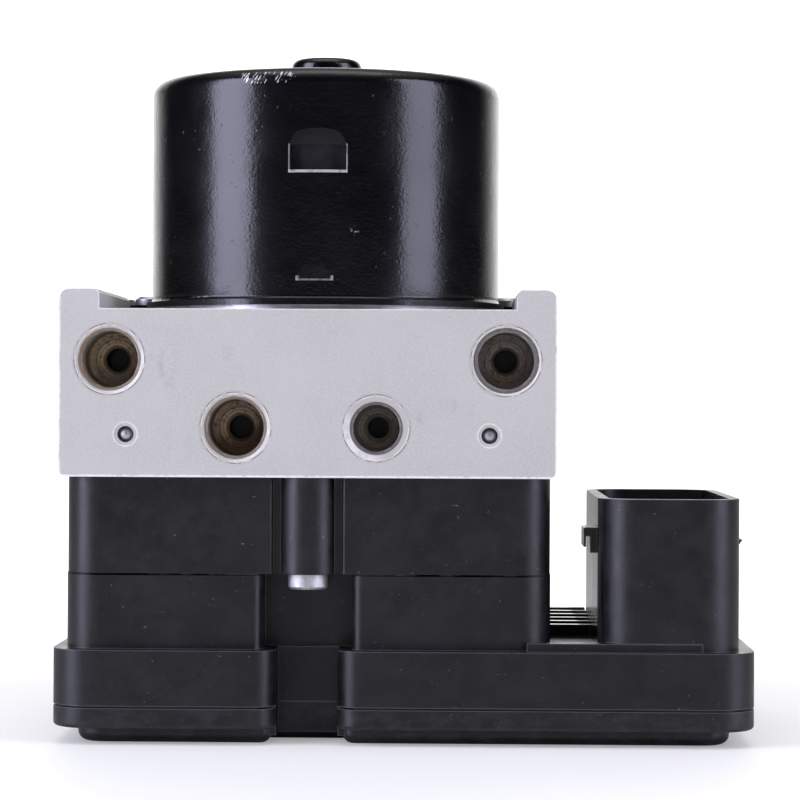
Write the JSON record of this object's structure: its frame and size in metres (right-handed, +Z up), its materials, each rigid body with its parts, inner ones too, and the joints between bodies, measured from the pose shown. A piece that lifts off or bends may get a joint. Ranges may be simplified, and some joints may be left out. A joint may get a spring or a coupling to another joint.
{
  "type": "brake hydraulic control module",
  "caption": "Anti-lock brake module with a pump motor on an aluminium valve block over a plastic control unit.",
  "frame": {"origin": "middle of the valve block's width and depth, on the flat underside of the cover", "axes": "+Z up along the motor shaft, -Y out of the wheel ports, +X towards the plug socket"},
  "size_m": [0.1424, 0.098, 0.1434],
  "materials": {
    "motor_paint": "gloss",
    "block_alloy": "satin",
    "steel": "satin",
    "zinc_steel": "satin",
    "spring_steel": "satin",
    "laminations": "satin",
    "ferrite": "matte",
    "copper": "satin",
    "brass": "satin",
    "carbon": "matte",
    "housing_plastic": "matte",
    "pale_plastic": "matte",
    "rubber": "matte",
    "board": "satin",
    "chip": "matte"
  },
  "bodies": {
    "housing": {"valve_block": "block_alloy", "sealing_balls": "steel", "inlet_valves": "steel", "outlet_valves": "steel", "accumulator_spring_left": "spring_steel", "accumulator_spring_right": "spring_steel", "accumulator_caps": "zinc_steel", "pump_sleeve_left": "steel", "pump_sleeve_right": "steel", "pump_spring_left": "spring_steel", "pump_spring_right": "spring_steel", "pump_plug_left": "zinc_steel", "pump_plug_right": "zinc_steel", "pump_outlet_valve_left": "steel", "pump_outlet_valve_right": "steel", "motor_can": "motor_paint", "motor_end_plate": "zinc_steel", "motor_seal_ring": "rubber", "front_bearing_outer_ring": "steel", "front_bearing_balls": "steel", "rear_bush": "brass", "motor_magnets": "ferrite", "brush_card": "pale_plastic", "brushes": "carbon", "brush_spring_left": "spring_steel", "brush_spring_right": "spring_steel", "motor_leads": "copper", "motor_lead_guide": "pale_plastic", "motor_screws": "zinc_steel", "coil_housing": "housing_plastic", "board_housing": "housing_plastic", "board_cover": "housing_plastic", "solenoid_coils": "copper", "coil_yokes": "zinc_steel", "circuit_board": "board", "board_chips": "chip", "capacitors": "zinc_steel", "socket_pins": "brass", "unit_screws": "zinc_steel"},
    "armature": {"armature_shaft": "steel", "eccentric_bearing": "steel", "armature_core": "laminations", "armature_windings": "copper", "commutator": "copper", "front_bearing_inner_ring": "steel"},
    "pump_piston_left": {"pump_piston_left": "steel"},
    "pump_piston_right": {"pump_piston_right": "steel"},
    "accumulator_piston_left": {"accumulator_piston_left": "block_alloy", "accumulator_seal_left": "rubber"},
    "accumulator_piston_right": {"accumulator_piston_right": "block_alloy", "accumulator_seal_right": "rubber"}
  },
  "joints": [
    {"name": "armature_spin", "type": "hinge", "parent": "housing", "child": "armature", "pos_m": [0.0014, 0, 0.1], "axis": [0, 0, 1], "continuous": true},
    {"name": "pump_stroke_left", "type": "slide", "parent": "housing", "child": "pump_piston_left", "axis": [1, 0, 0], "range_m": [-0.00075, 0.00075]},
    {"name": "pump_stroke_right", "type": "slide", "parent": "housing", "child": "pump_piston_right", "axis": [-1, 0, 0], "range_m": [-0.00075, 0.00075]},
    {"name": "accumulator_stroke_left", "type": "slide", "parent": "housing", "child": "accumulator_piston_left", "axis": [0, 0, -1], "range_m": [0, 0.005], "stiffness_N_per_m": 600, "springref_m": -0.004, "deforming": ["accumulator_spring_left"]},
    {"name": "accumulator_stroke_right", "type": "slide", "parent": "housing", "child": "accumulator_piston_right", "axis": [0, 0, -1], "range_m": [0, 0.005], "stiffness_N_per_m": 600, "springref_m": -0.004, "deforming": ["accumulator_spring_right"]}
  ]
}
